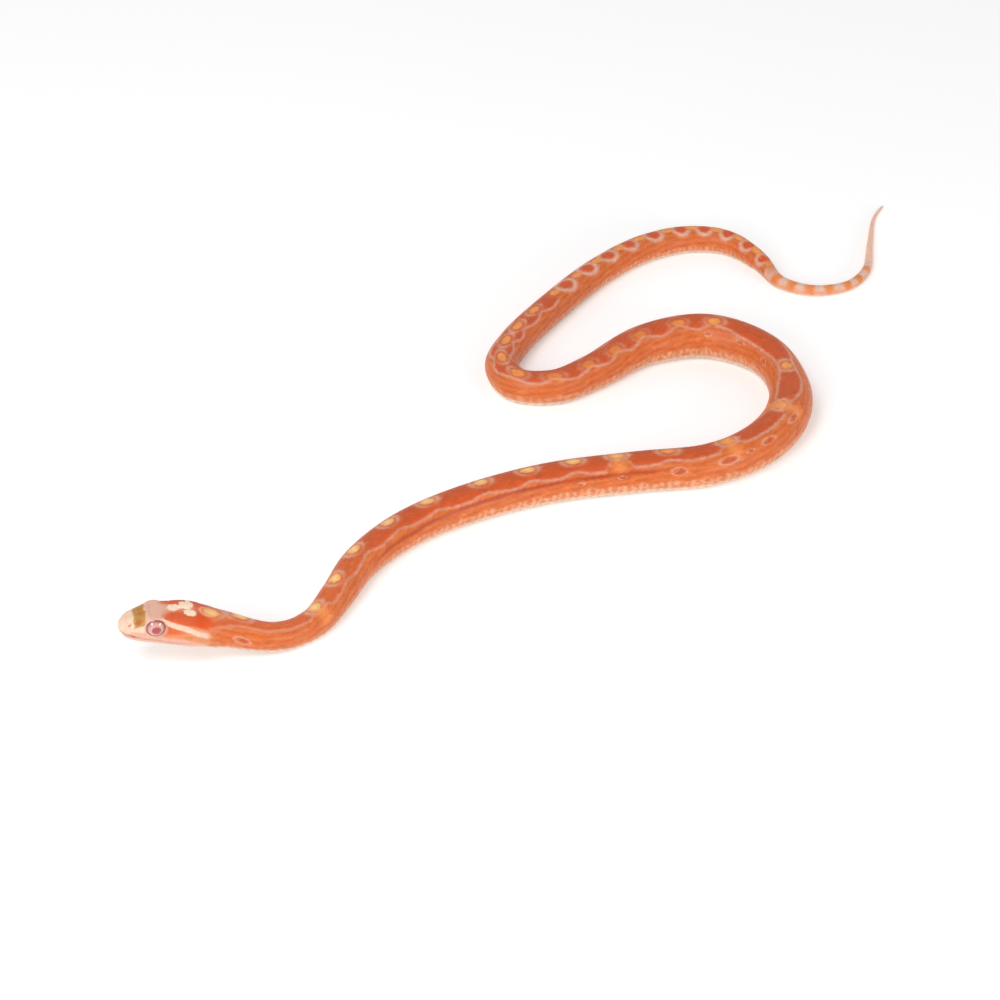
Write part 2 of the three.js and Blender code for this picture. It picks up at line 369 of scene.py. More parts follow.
def distance_to_seams(place, round_way):
    """Shortest way in millimetres from points of the head to a seam."""
    nearest = np.full(place.shape, 9.0)
    for start, end in seam_pieces():
        run = end - start
        size = max(run @ run, 1e-9)
        share = np.clip(((place - start[0]) * run[0] + (round_way - start[1]) * run[1]) / size, 0, 1)
        gap = np.hypot(place - start[0] - share * run[0], round_way - start[1] - share * run[1])
        nearest = np.minimum(nearest, gap)
    return nearest


def bump(place, centre, width):
    return np.exp(-((place - centre) / width) ** 2)


def head_relief(place, share):
    """How far the head's skin stands out: domed plates, seams, mouth, nostrils and hollows."""
    way = np.abs(share) * half_girth(place)
    lip = np.interp(place, LIP_PLACES, LIP_GIRTHS)
    gap = distance_to_seams(place, way)
    plates = PLATE_CROWN * (1 - np.exp(-(gap / PLATE_ROUNDING) ** 2)) - SEAM_DEPTH * bump(gap, 0, SEAM_WIDTH)
    plates = plates * step_between(12.2, 11.4, place)
    mouth_end = step_between(11.2, 10.4, place)
    plates = plates - MOUTH_DEPTH * bump(way - lip, 0, MOUTH_WIDTH) * mouth_end
    plates = plates + 0.06 * bump(way - lip, -0.38, 0.3) * mouth_end
    nostril = np.hypot((place - 1.25) / 0.2, (way - 2.05) / 0.15)
    plates = plates - 0.3 * np.exp(-nostril ** 2) + 0.05 * bump(nostril, 1.7, 0.5)
    hollow = np.exp(-((place - 3.3) / 0.9) ** 2 - ((way - 0.7 * lip) / 0.55) ** 2)
    furrow = bump(way, 0, 0.5) * step_between(7.5, 9.5, place) * step_between(12.5, 11.0, place)
    cheek = np.exp(-((place - 9.3) / 1.6) ** 2 - ((way - 0.68 * lip) / 0.9) ** 2)
    return plates - 0.12 * hollow - 0.07 * furrow + 0.08 * cheek


ORBIT_RADIUS = 1.48
ORBIT_REACH = 1.1
ORBIT_RIM = 0.08


def eye_dome(radius):
    """How far the clear dome over the eye stands out at a radius from its axis."""
    return EYE_DEPTH - DOME_CURVE + np.sqrt(np.maximum(DOME_CURVE ** 2 - radius ** 2, 0))


def from_eye(points, side_name):
    """How far points lie from an eye's axis, how far out along it, and the axis."""
    centre, along, up, out = eye_axes(side_name)
    offset = points - centre
    return np.hypot(offset @ along, offset @ up), offset @ out, out


def fit_orbit(points, side_name):
    """Draws the skin round an eye to the eyeball, with a low rim, and behind it inside the rim."""
    radius, stand, out = from_eye(points, side_name)
    rim = eye_dome(ORBIT_RADIUS)
    inside = step_between(ORBIT_RADIUS, ORBIT_RADIUS - 0.1, radius)
    target = np.where(radius > ORBIT_RADIUS, rim + 0.02, eye_dome(radius) + 0.02 - 0.4 * inside)
    target = target + ORBIT_RIM * bump(radius, ORBIT_RADIUS + 0.12, 0.1)
    far = np.hypot(np.maximum(radius - ORBIT_RADIUS, 0), stand - rim)
    brow = step_between(2.0, 1.53, radius) * step_between(-1.2, -0.5, stand)
    around = np.maximum(brow, step_between(ORBIT_REACH, 0, far))
    pull = np.where(radius < ORBIT_RADIUS + 0.03, (stand > -0.7) * 1.0, around)
    return points + out * (pull * (target - stand))[:, None]


# Colours, as seen in daylight (red, green, blue out of 255)
SADDLE = (200, 82, 34)
NECK_SADDLE = (214, 102, 52)
FLANK = (204, 88, 38)
GOLD_FLANK = (218, 124, 64)
# Dark line along a skin fold on the flank: partly its own darker colour, partly painted shade of the fold
FOLD_STRIPE_AND_SHADE = (170, 56, 22)
BELLY_EDGE = (240, 196, 156)
BELLY = (240, 222, 204)
GOLD = (246, 176, 104)
GOLD_HEART = (255, 210, 150)
HALO = (228, 166, 138)
PALE_LINE = (216, 160, 138)
PALE_RIM = (224, 172, 150)
GAP = (240, 140, 74)
BLOTCH = (180, 66, 44)
BLOTCH_RING = (222, 166, 142)
AMBER = (242, 150, 76)
TAIL_ORANGE = (228, 128, 68)
TAIL_PINK = (222, 182, 164)
TAIL_SIDE = (226, 156, 122)
TAIL_END = (250, 196, 168)
SNOUT = (230, 196, 170)
OCHRE = (184, 132, 62)
OCHRE_DARK = (168, 94, 28)
CLOVER = (244, 216, 190)
CROWN = (218, 128, 88)
HEAD_ORANGE = (204, 84, 36)
LILAC = (220, 172, 150)
NAPE = (214, 76, 26)
STRIPE = (236, 194, 170)
UNDER_STRIPE = (208, 98, 52)
CHEEK = (218, 138, 94)
LIP = (216, 166, 146)
JAW = (224, 190, 170)
EYE_RING = (222, 178, 154)
# Painted shade in the crease where the skin meets each eye
EYE_CREASE_SHADE = (150, 84, 84)
# The mouth's own red, also used as painted shade along the mouth line and in the nostrils
MOUTH_RED_AND_SHADE = (176, 66, 66)

# Gold spots along the back, and which of the gaps between the saddles are open
GOLD_SPOTS = np.array([
    13.3, 17.5, 31.7, 39.3, 47.0, 55.6, 63.8, 73.7, 81.9, 89.7, 97.0, 105.5, 116.0, 131.2, 145.0,
    164.5, 171.4, 179.2, 185.6, 191.8, 198.5, 204.5, 210.3, 216.2, 221.6, 228.0, 235.2,
    242.8, 249.4, 255.8, 261.0, 267.0, 271.8, 276.4, 281.2, 286.0, 290.8,
])
OPEN_GAPS = np.array([31.7, 97.0, 116.0, 131.2])
SADDLE_BLOTCHES = np.array([238.8, 246.0, 252.2, 258.0, 264.0, 269.7, 274.2, 278.8, 283.8, 288.6, 292.6])
TAIL_SPOTS = np.array([290.8, 294.4, 297.6, 300.8, 304.2, 307.8, 311.0, 315.0])
SADDLES_END = 234.0

# Distance, shift of the pattern's middle to the left, and reach of the saddles at and between the gold spots
PATTERN = np.array([
    [12.8, 0.0, 3.4, 0.0], [15, 0.0, 2.4, 0.0], [17.5, -0.2, 1.6, 0.1], [27, -0.4, 1.5, 0.1],
    [33, -0.6, 1.7, 0.4], [45, -1.0, 2.3, 0.6], [62, -0.8, 2.7, 0.6], [84, -0.6, 2.7, 0.7],
    [105, -0.8, 2.5, 0.7], [118, -0.7, 1.7, 0.4], [130, -0.6, 1.4, 0.6], [146, -0.2, 1.2, 0.9],
    [166, -0.1, 1.4, 1.3], [180, -0.1, 1.5, 1.0], [200, -0.1, 1.4, 0.8], [235, -0.2, 1.4, 0.7],
    [343, 0.0, 1.2, 0.5],
])

# Ringed marks on the flanks: distance, way round to the left, half length, half width
FLANK_MARKS = (
    (90.0, 4.3, 0.6, 0.2), (97.2, 4.0, 0.6, 0.22), (106.8, 3.8, 0.95, 0.5), (114.5, 3.3, 1.3, 0.5),
    (118.5, 3.1, 0.5, 0.3), (122.2, 2.9, 1.1, 0.42), (129.4, 2.6, 1.2, 0.42), (149.6, -3.5, 0.8, 0.4),
    (157.8, -3.4, 0.8, 0.3), (165.3, -3.6, 0.8, 0.3), (18.3, 3.6, 1.0, 0.4),
)

# Along the body, places and the value at each: strengths, and length and shift of the gold spots
LINE_STRENGTH = ((20, 60, 100, 200), (0.6, 0.7, 0.85, 0.95))
SPOT_STRETCH = ((150, 200, 216, 235), (1.0, 1.0, 1.35, 1.0))
SPOT_SHIFT = ((14, 17, 26, 158, 166, 176, 198, 206), (0.0, -0.9, 0.0, 0.0, -0.8, -0.9, -0.9, 0.0))
HALO_STRENGTH = ((158, 170, 200, 208), (1.0, 0.35, 0.35, 0.9))
AMBER_STRENGTH = ((168, 174, 200, 206), (1.0, 0.55, 0.55, 1.0))
BLOTCH_LENGTH = ((235, 293), (1.6, 0.9))
BELLY_EDGE_STRENGTH = ((31, 60, 95, 125, 160, 200), (0.15, 0.5, 0.65, 0.45, 0.6, 0.4))

# Lines on the head: the upper edge of the lip plates, the brow line and the stripe behind the eye
LIP_EDGE = ((0, 2, 4, 7, 12.5), (2.6, 3.3, 4.3, 5.4, 5.9))
BROW_LINE = ((3.9, 5.0, 5.9, 6.7), (1.6, 1.5, 2.1, 3.0))
EYE_STRIPE = ((6.4, 8.2, 9.8, 11.3, 13.2), (3.0, 3.7, 4.1, 4.5, 4.4))

# Pale plates on the crown: distance, way round to the left, half length, half width
CLOVER_LEAVES = (
    (7.8, -0.13, 0.95, 0.85), (8.8, -0.3, 0.7, 0.35), (9.3, -1.1, 0.65, 0.7), (9.7, -0.3, 0.5, 0.45),
    (10.3, -1.0, 0.5, 0.75), (10.2, 1.0, 0.95, 0.8), (10.0, 0.2, 0.4, 0.45), (10.0, -2.1, 0.35, 0.7),
)


def paint(colour):
    """A colour given in display values, as light."""
    value = np.array(colour) / 255
    return np.where(value <= 0.04045, value / 12.92, ((value + 0.055) / 1.055) ** 2.4)


def ripple(a, b, seed):
    """A smooth uneven value between about -1 and 1."""
    first = np.sin(1.7 * a + 2.3 * b + seed)
    second = np.sin(2.9 * a - 1.9 * b + 2.1 * seed + 1.3 * first)
    third = np.sin(5.3 * a + 4.1 * b + 3.7 * seed + first)
    return 0.5 * first + 0.35 * second + 0.25 * third


def mixed(base, colour, mask):
    mask = np.clip(mask, 0, 1)[:, None]
    return base * (1 - mask) + paint(colour) * mask


def layered(base, place, layers):
    """One colour at every place, and over it each layer's colour where its mask says."""
    colour = np.tile(paint(base), (len(place), 1))
    for tint, mask in layers:
        colour = mixed(colour, tint, mask)
    return colour


def oval(place, way, spot, soft=0.16):
    """A mask of one oval mark with a slightly uneven edge."""
    centre, across, half_length, half_width = spot
    far = np.hypot((place - centre) / half_length, (way - across) / half_width)
    far = far + 0.13 * ripple(4 * place, 4 * way, centre)
    return step_between(1 + soft, 1 - soft, far)


def along_line(place, way, line, half_width):
    """A mask of a stripe along a line of distances and ways round."""
    inside = step_between(line[0][0] - 0.15, line[0][0] + 0.15, place)
    inside = inside * step_between(line[0][-1] + 0.2, line[0][-1] - 0.2, place)
    aside = np.abs(way - np.interp(place, *line))
    return inside * step_between(half_width + 0.13, half_width - 0.13, aside)


def nearest(places, distance):
    """The nearest of the given places to each distance, and how far along between two it is."""
    after = np.clip(np.searchsorted(places, distance), 1, len(places) - 1)
    before = after - 1
    share = np.clip((distance - places[before]) / (places[after] - places[before]), 0, 1)
    return np.where(share < 0.5, places[before], places[after]), share


def body_markings(place, way):
    """Colour of neck, trunk and tail."""
    round_share = np.abs(way) / half_girth(place)
    shift = smooth_table(PATTERN, 1, place)
    side_way = np.abs(way - shift)
    # A dark line along a skin fold on the flank: partly a darker stripe of its own, partly painted shade of
    # the fold, which has no relief
    fold_stripe_and_shade = bump(np.abs(way), 3.4 + 0.12 * ripple(0.4 * place, 0, 1), 0.34)
    fold_stripe_and_shade = fold_stripe_and_shade * step_between(44, 54, place) * step_between(110, 98, place)
    gold, phase = nearest(GOLD_SPOTS, place)
    reach = smooth_table(PATTERN, 2, place) + smooth_table(PATTERN, 3, place) * np.sin(math.pi * phase) ** 1.3
    reach = reach + 0.1 * ripple(0.9 * place, 2 * np.sign(way), 2.0)
    gap, _ = nearest(OPEN_GAPS, place)
    closing = np.clip((np.abs(place - gap) - 1.0) / 1.6, 0, 1)
    reach = reach * np.sqrt(closing) - (closing <= 0) * 0.4
    before_tail = step_between(SADDLES_END + 0.5, SADDLES_END - 0.5, place)
    saddle = step_between(0.1, -0.1, side_way - reach) * before_tail
    line = bump(side_way - reach, 0.05, 0.24) * before_tail * (closing > 0)
    line = line * np.interp(place, *LINE_STRENGTH)
    long = 1.2 * np.interp(place, *SPOT_STRETCH)
    across = way - shift - np.interp(place, *SPOT_SHIFT)
    far = np.hypot((place - gold) / long, across / np.where(place > 205, 0.75, 0.95))
    far = far + 0.06 * ripple(2.5 * place, 2.5 * way, 1.0)
    on_back = step_between(294, 288, place)
    lengthwise = np.clip(((place - gold) / (long * far + 0.01)) ** 2, 0, 1)
    halo = (0.2 + 0.75 * lengthwise) * bump(far, 1.6, 0.3) * on_back * step_between(236, 226, place)
    fore = step_between(112, 90, place)
    amber = step_between(1.12, 0.8, far) * on_back * (1 - fore)
    blotch, _ = nearest(SADDLE_BLOTCHES, place)
    round_blotch = np.hypot((place - blotch) / np.interp(place, *BLOTCH_LENGTH), way / 1.3)
    round_blotch = round_blotch + 0.06 * ripple(2 * place, 2 * way, 6)
    behind = (1 - before_tail) * step_between(296, 293, place) * step_between(0.9, 1.2, far)
    layers = [
        (GOLD_FLANK, 0.35 + 0.4 * ripple(0.35 * place, 2.6 * way, 4.0)),
        (FOLD_STRIPE_AND_SHADE, 0.85 * fold_stripe_and_shade),
        (SADDLE, saddle * step_between(20, 60, place)),
        (NECK_SADDLE, saddle * step_between(60, 20, place)),
        (NAPE, 0.35 * bump(side_way - reach, -0.45, 0.3) * saddle),
        (GAP, 0.8 * bump(place - gap, 0, 1.1) * step_between(4.4, 3.2, side_way)),
        (PALE_LINE, line * (0.8 + 0.2 * ripple(2 * place, way, 5))),
        (HALO, halo * np.interp(place, *HALO_STRENGTH)),
        (GOLD, step_between(1.12, 0.88, far) * fore),
        (AMBER, amber * np.interp(place, *AMBER_STRENGTH)),
        (GOLD_HEART, 0.7 * step_between(0.8, 0.2, far) * fore),
        (PALE_RIM, 0.9 * bump(round_blotch, 1.32, 0.34) * behind),
        (NAPE, 0.8 * step_between(1.1, 0.85, round_blotch) * behind),
    ]
    for centre, aside, half_length, half_width in FLANK_MARKS:
        around = np.hypot((place - centre) / half_length, (way - aside) / half_width)
        layers.append((BLOTCH_RING, 0.8 * bump(around, 1.28, 0.17)))
        layers.append((BLOTCH, 0.5 * step_between(1.15, 0.8, around)))
    speckle = step_between(-0.2, 0.7, np.sin(5.0 * place + 3 * np.sign(way) + 1.6 * ripple(place, way, 3)))
    low = step_between(0.49, 0.55, round_share + 0.03 * ripple(0.8 * place, 0 * place, 9))
    bright = low * np.interp(place, *BELLY_EDGE_STRENGTH)
    layers.append((BELLY_EDGE, bright * (0.2 + 0.8 * speckle)))
    layers.append((BELLY, 0.8 * step_between(0.63, 0.71, round_share)))
    on_tail = step_between(289, 295, place)[:, None]
    return layered(FLANK, place, layers) * (1 - on_tail) + tail_markings(place, round_share) * on_tail


def tail_markings(place, round_share):
    """Colour of the slim tail: pink, with orange spots along the back."""
    spot, _ = nearest(TAIL_SPOTS, place)
    return layered(TAIL_PINK, place, [
        (TAIL_SIDE, bump(round_share, 0.5, 0.2)),
        (TAIL_ORANGE, step_between(1.1, 0.5, np.hypot((place - spot) / 1.15, round_share / 0.75))),
        (AMBER, 0.6 * step_between(0.9, 0.2, np.hypot((place - spot + 0.5) / 0.7, round_share / 0.25))),
        (TAIL_END, 0.8 * step_between(313, 322, place)),
        (BELLY, step_between(0.55, 0.8, round_share)),
    ])


def head_markings(place, way):
    """Colour of the head: cream snout, ochre band, orange crown with a pale clover, eye stripes."""
    side = np.abs(way)
    pale_top = step_between(1.1, 0.3, np.abs(way - 0.2) * step_between(3, 5, place) * (place / 6))
    orange = step_between(5.6, 8.2, place + 0.35 * side + 0.35 * ripple(place, way, 2))
    deep = step_between(6.9, 8.6, place + 0.9 * side + 0.3 * ripple(1.5 * place, way, 8))
    nape_gold = np.hypot((place - 13.3) / 1.1, (way + 0.2) / 0.9)
    band = place + 0.16 * ripple(0.5 * place, 1.3 * way, 7)
    ochre = step_between(1.75, 2.05, band) * step_between(3.7, 3.4, band) * step_between(3.15, 2.7, side)
    cheek = step_between(3.3, 3.9, side) * step_between(6.0, 7.0, place)
    lip = np.interp(place, LIP_PLACES, LIP_GIRTHS)
    lip_spot = np.hypot((place - 2.0) / 0.45, (side - lip + 0.05) / 0.2)
    mouth = bump(side - lip, 0, 0.09) * step_between(10.6, 9.0, place)
    layers = [
        (LILAC, step_between(3.2, 3.9, place)),
        (CROWN, orange * (1 - 0.35 * pale_top)),
        (HEAD_ORANGE, 0.9 * deep * step_between(0.5, 1.5, side)),
        (NAPE, 0.9 * step_between(10.2, 12.0, place) * step_between(3.9, 3.0, side)),
        (HALO, 0.9 * bump(nape_gold, 1.35, 0.25)),
        (GOLD, step_between(1.1, 0.85, nape_gold)),
        (OCHRE, 0.95 * ochre),
        (OCHRE_DARK, 0.85 * oval(place, side, (2.55, 2.1, 0.5, 0.5), 0.5)),
        (OCHRE_DARK, 0.5 * oval(place, side, (2.9, 0.6, 0.5, 0.5), 0.6)),
    ]
    layers += [(CLOVER, oval(place, way, leaf)) for leaf in CLOVER_LEAVES]
    layers += [
        (STRIPE, 0.9 * along_line(place, side, BROW_LINE, 0.22)),
        (CHEEK, cheek),
        (UNDER_STRIPE, cheek * step_between(10.4, 8.0, place) * step_between(5.3, 4.7, side)),
        (OCHRE, 0.6 * oval(place, side, (10.1, 5.5, 0.6, 0.4), 0.4)),
        (STRIPE, 0.95 * along_line(place, side, EYE_STRIPE, 0.42)),
        (LIP, step_between(0, 0.5, side - np.interp(place, *LIP_EDGE))),
        (JAW, step_between(0.1, 0.8, side - lip)),
        # The mouth line: painted shade along the groove, turning into the mouth's own red at the front of the
        # lip
        (MOUTH_RED_AND_SHADE, mouth * (0.3 + 0.6 * step_between(3.2, 1.6, place))),
        # Painted shade in the nostril pit
        (MOUTH_RED_AND_SHADE, 0.5 * oval(place, side, (1.25, 2.05, 0.22, 0.16), 0.5)),
        (MOUTH_RED_AND_SHADE, 0.8 * step_between(1.3, 0.6, lip_spot)),
    ]
    return layered(SNOUT, place, layers)


MARKING_BATCH = 60000


def markings(place, share):
    """Colour of the whole animal at a distance from the snout and a share of the way round."""
    way = share * half_girth(place)
    colour = np.empty((len(place), 3))
    for first in range(0, len(place), MARKING_BATCH):
        part = slice(first, first + MARKING_BATCH)
        uneven = place[part] + 0.15 * ripple(3 * place[part], 3 * way[part], 1)
        head = step_between(14.2, 12.4, uneven)[:, None]
        body = body_markings(place[part], way[part])
        colour[part] = head_markings(place[part], way[part]) * head + body * (1 - head)
    return colour


def new_mesh(name, points, faces, colours, material, crisp_rim=None):
    """A mesh from points in millimetres and arrays of faces; with a crisp rim, the last array is flat."""
    mesh = bpy.data.meshes.new(name)
    mesh.vertices.add(len(points))
    mesh.vertices.foreach_set("co", (points * MM).astype(np.float32).ravel())
    corners = np.concatenate([group.ravel() for group in faces]).astype(np.int32)
    sizes = np.concatenate([np.full(len(group), group.shape[1]) for group in faces])
    starts = np.concatenate([[0], np.cumsum(sizes)[:-1]]).astype(np.int32)
    mesh.loops.add(len(corners))
    mesh.loops.foreach_set("vertex_index", corners)
    mesh.polygons.add(len(sizes))
    mesh.polygons.foreach_set("loop_start", starts)
    smooth = np.ones(len(sizes), bool)
    if crisp_rim is not None:
        smooth[-len(faces[-1]):] = False
    mesh.polygons.foreach_set("use_smooth", smooth)
    mesh.update(calc_edges=True)
    if crisp_rim is not None:
        ends = np.empty(2 * len(mesh.edges), np.int32)
        mesh.edges.foreach_get("vertices", ends)
        ends = np.sort(ends.reshape(-1, 2).astype(np.int64), axis=1)
        rim = np.sort(crisp_rim, axis=1)
        sharp = np.isin(ends[:, 0] * len(points) + ends[:, 1], rim[:, 0] * len(points) + rim[:, 1])
        edges = mesh.attributes.new(name="sharp_edge", type="BOOLEAN", domain="EDGE")
        edges.data.foreach_set("value", sharp)
    tint = mesh.color_attributes.new(name="markings", type="FLOAT_COLOR", domain="POINT")
    opaque = np.column_stack([colours, np.ones(len(points))])
    tint.data.foreach_set("color", opaque.astype(np.float32).ravel())
    mesh.materials.append(material)
    piece = bpy.data.objects.new(name, mesh)
    bpy.context.scene.collection.objects.link(piece)
    return piece, corners


UNWRAP_SCALE = 1 / 92
UNWRAP_STRIP = 86.0
UNWRAP_MARGIN = 0.02
PATCH = 0.003


def unwrap(distance, way, strip):
    """The skin's own unwrap: its length in four strips, one over the other."""
    along = UNWRAP_MARGIN + (distance - strip * UNWRAP_STRIP) * UNWRAP_SCALE
    return np.column_stack([along, 0.125 + 0.25 * strip + way * UNWRAP_SCALE])


def strip_of(distance):
    return np.clip(np.floor(distance / UNWRAP_STRIP), 0, 3)


def patches(distance, way, along, across):
    """A small patch of the unwrap for each scale, at the place of its root."""
    root = unwrap(distance, way, strip_of(distance))
    patch = np.column_stack([along, across]) * PATCH
    return np.repeat(root, len(along), axis=0) + np.tile(patch, (len(root), 1))


def add_unwrap(piece, places):
    layer = piece.data.uv_layers.new(name="OFBake")
    layer.data.foreach_set("uv", places.astype(np.float32).ravel())


HEAD_ROUND = 256
BODY_ROUND = 64
HEAD_RING_STEP = 0.0625
BODY_RING_STEP = 1.0
FINE_END = 13.5


def ring_faces(first, second, count):
    """Quads between two rings of the same number of points."""
    k = np.arange(count)
    after = (k + 1) % count
    return np.column_stack([first + k, first + after, second + after, second + k])


def make_skin(material):
    """One skin from snout to tail, fine on the head, coarser where scales cover it."""
    dome = SNOUT_START - SNOUT_DOME * np.cos(np.linspace(0.02, math.pi / 2, 9))[:-1]
    fine = np.concatenate([dome, np.arange(SNOUT_START, FINE_END, HEAD_RING_STEP)])
    coarse = np.append(np.arange(FINE_END + 0.3, LENGTH - TAIL_TAPER, BODY_RING_STEP), LENGTH - 0.6)
    fine_share = np.linspace(-1, 1, HEAD_ROUND, endpoint=False)
    coarse_share = np.linspace(-1, 1, BODY_ROUND, endpoint=False)
    place = np.concatenate([np.repeat(fine, HEAD_ROUND), np.repeat(coarse, BODY_ROUND)])
    share = np.concatenate([np.tile(fine_share, len(fine)), np.tile(coarse_share, len(coarse))])
    on_head = place < FINE_END
    relief = np.zeros(len(place))
    relief[on_head] = head_relief(place[on_head], share[on_head]) * step_between(-0.15, 0.3, place[on_head])
    points = raised(place, share, relief - coat_depth(place))
    for side_name in EYES:
        points[on_head] = fit_orbit(points[on_head], side_name)
    tip = surface(np.array([SNOUT_START - SNOUT_DOME]), np.array([0.0]))
    end = surface(np.array([LENGTH - 0.2]), np.array([0.0])) - [0, 0, 0.1]
    tip_index = len(points)
    points = np.vstack([points, tip, end])
    body_start = len(fine) * HEAD_ROUND
    rings = [ring_faces(k * HEAD_ROUND, (k + 1) * HEAD_ROUND, HEAD_ROUND) for k in range(len(fine) - 1)]
    rings += [ring_faces(body_start + k * BODY_ROUND, body_start + (k + 1) * BODY_ROUND, BODY_ROUND)
              for k in range(len(coarse) - 1)]
    quads = np.concatenate(rings)
    ratio = HEAD_ROUND // BODY_ROUND
    last_fine = body_start - HEAD_ROUND
    k = np.arange(BODY_ROUND)
    fan = [last_fine + (k * ratio + j) % HEAD_ROUND for j in range(ratio + 1)]
    joint = np.column_stack(fan + [body_start + (k + 1) % BODY_ROUND, body_start + k])
    last = tip_index - BODY_ROUND
    wide = np.arange(HEAD_ROUND)
    snout = np.column_stack([np.full(HEAD_ROUND, tip_index), (wide + 1) % HEAD_ROUND, wide])
    tail = np.column_stack([last + k, last + (k + 1) % BODY_ROUND, np.full(BODY_ROUND, tip_index + 1)])
    place = np.append(place, [SNOUT_START - SNOUT_DOME, LENGTH - 0.2])
    share = np.append(share, [0.0, 0.0])
    colours = skin_colours(points, place, share)
    faces = [quads, joint, snout, tail]
    piece, _ = new_mesh("skin", points, faces, colours, material)
    groups = []
    for group in faces:
        ways = share[group] * half_girth(place[group])
        wrapped = (np.abs(share[group]) > 0.999) & (share[group].sum(1, keepdims=True) > 0)
        ways = np.where(wrapped, -ways, ways)
        strip = np.repeat(strip_of(place[group].min(1)), group.shape[1])
        groups.append(unwrap(place[group].ravel(), ways.ravel(), strip))
    add_unwrap(piece, np.concatenate(groups))
    return piece


def skin_colours(points, place, share):
    """Markings on the skin, with a pale ring round each eye, painted shade in the crease round each eye and
    painted shade in the plate seams.
    """
    colour = markings(place, share)
    head = np.flatnonzero(place < FINE_END)
    gap = distance_to_seams(place[head], np.abs(share[head]) * half_girth(place[head]))
    shade = 1 - 0.08 * bump(gap, 0, 0.06) * step_between(12.0, 11.0, place[head])
    colour[head] *= shade[:, None] ** np.array([0.5, 1.2, 1.4])
    for side_name in EYES:
        radius, stand, _ = from_eye(points[head], side_name)
        ring = bump(radius, ORBIT_RADIUS + 0.14, 0.17) * (stand > 0)
        colour[head] = mixed(colour[head], EYE_RING, 0.9 * ring)
        # Painted shade: a dark ring where the skin tucks in round the eye dome
        crease_shade_mask = bump(radius, ORBIT_RADIUS - 0.06, 0.07) * (stand > 0)
        colour[head] = mixed(colour[head], EYE_CREASE_SHADE, 0.7 * crease_shade_mask)
    return colour


SCALE_ALONG = 6
SCALE_ACROSS = 7
ROW_LIMIT = 0.685
ROWS = ((0.0, VENT, 25), (VENT, 318.0, 15), (318.0, LENGTH - 1.5, 9))
SCALE_PITCH = 2.15
SCALE_OVERLAP = 1.6
SCALE_WIDTH = 1.14
TIP_LIFT = 0.06
LENS = 0.036
KEEL = 0.014
ROOT_SINK = 0.03
BACK_SHARE = 0.235
BACK_SPLIT = 150.0


def scale_start(share):
    """Where the scales begin behind the head plates, for a row."""
    return 11.9 - 1.1 * step_between(0.06, 0.34, np.abs(share))


def scale_roots():
    """Distance, share round and row spacing of every scale, in alternating rows."""
    roots = []
    for first, last, count in ROWS:
        spacing = 2 * ROW_LIMIT / count
        shares = (np.arange(count) - (count - 1) / 2) * spacing
        place = first
        places = []
        while place < last:
            places.append(place)
            place += SCALE_PITCH * spacing * half_girth(max(place, 9.0))
        places = np.array(places)
        for row, share in enumerate(shares):
            shifted = places + (row % 2) * 0.5 * SCALE_PITCH * spacing * half_girth(np.maximum(places, 9.0))
            kept = shifted[(shifted > scale_start(share)) & (shifted < last)]
            roots.extend((place, share, spacing) for place in kept)
    return np.array(roots)


def scale_outline(along):
    """Half width of a lance-shaped scale, as a share of its widest place."""
    widest = 0.42
    front = 1 - 0.3 * (np.maximum(widest - along, 0) / widest) ** 2
    back = 1 - 0.88 * (np.maximum(along - widest, 0) / (1 - widest)) ** 2.6
    return front * back


def grid_faces(rows, columns):
    """Quads of a grid, its outline in order, and a fan that closes its underside."""
    i, j = np.meshgrid(np.arange(rows - 1), np.arange(columns - 1), indexing="ij")
    first = (i * columns + j).ravel()
    quads = np.column_stack([first, first + 1, first + columns + 1, first + columns])
    outline = list(range(columns))
    outline += [k * columns + columns - 1 for k in range(1, rows)]
    outline += [(rows - 1) * columns + k for k in range(columns - 2, -1, -1)]
    outline += [k * columns for k in range(rows - 2, 0, -1)]
    outline = np.array(outline)
    fan = np.column_stack([np.roll(outline, -1), outline, np.full(len(outline), rows * columns)])
    return quads, fan


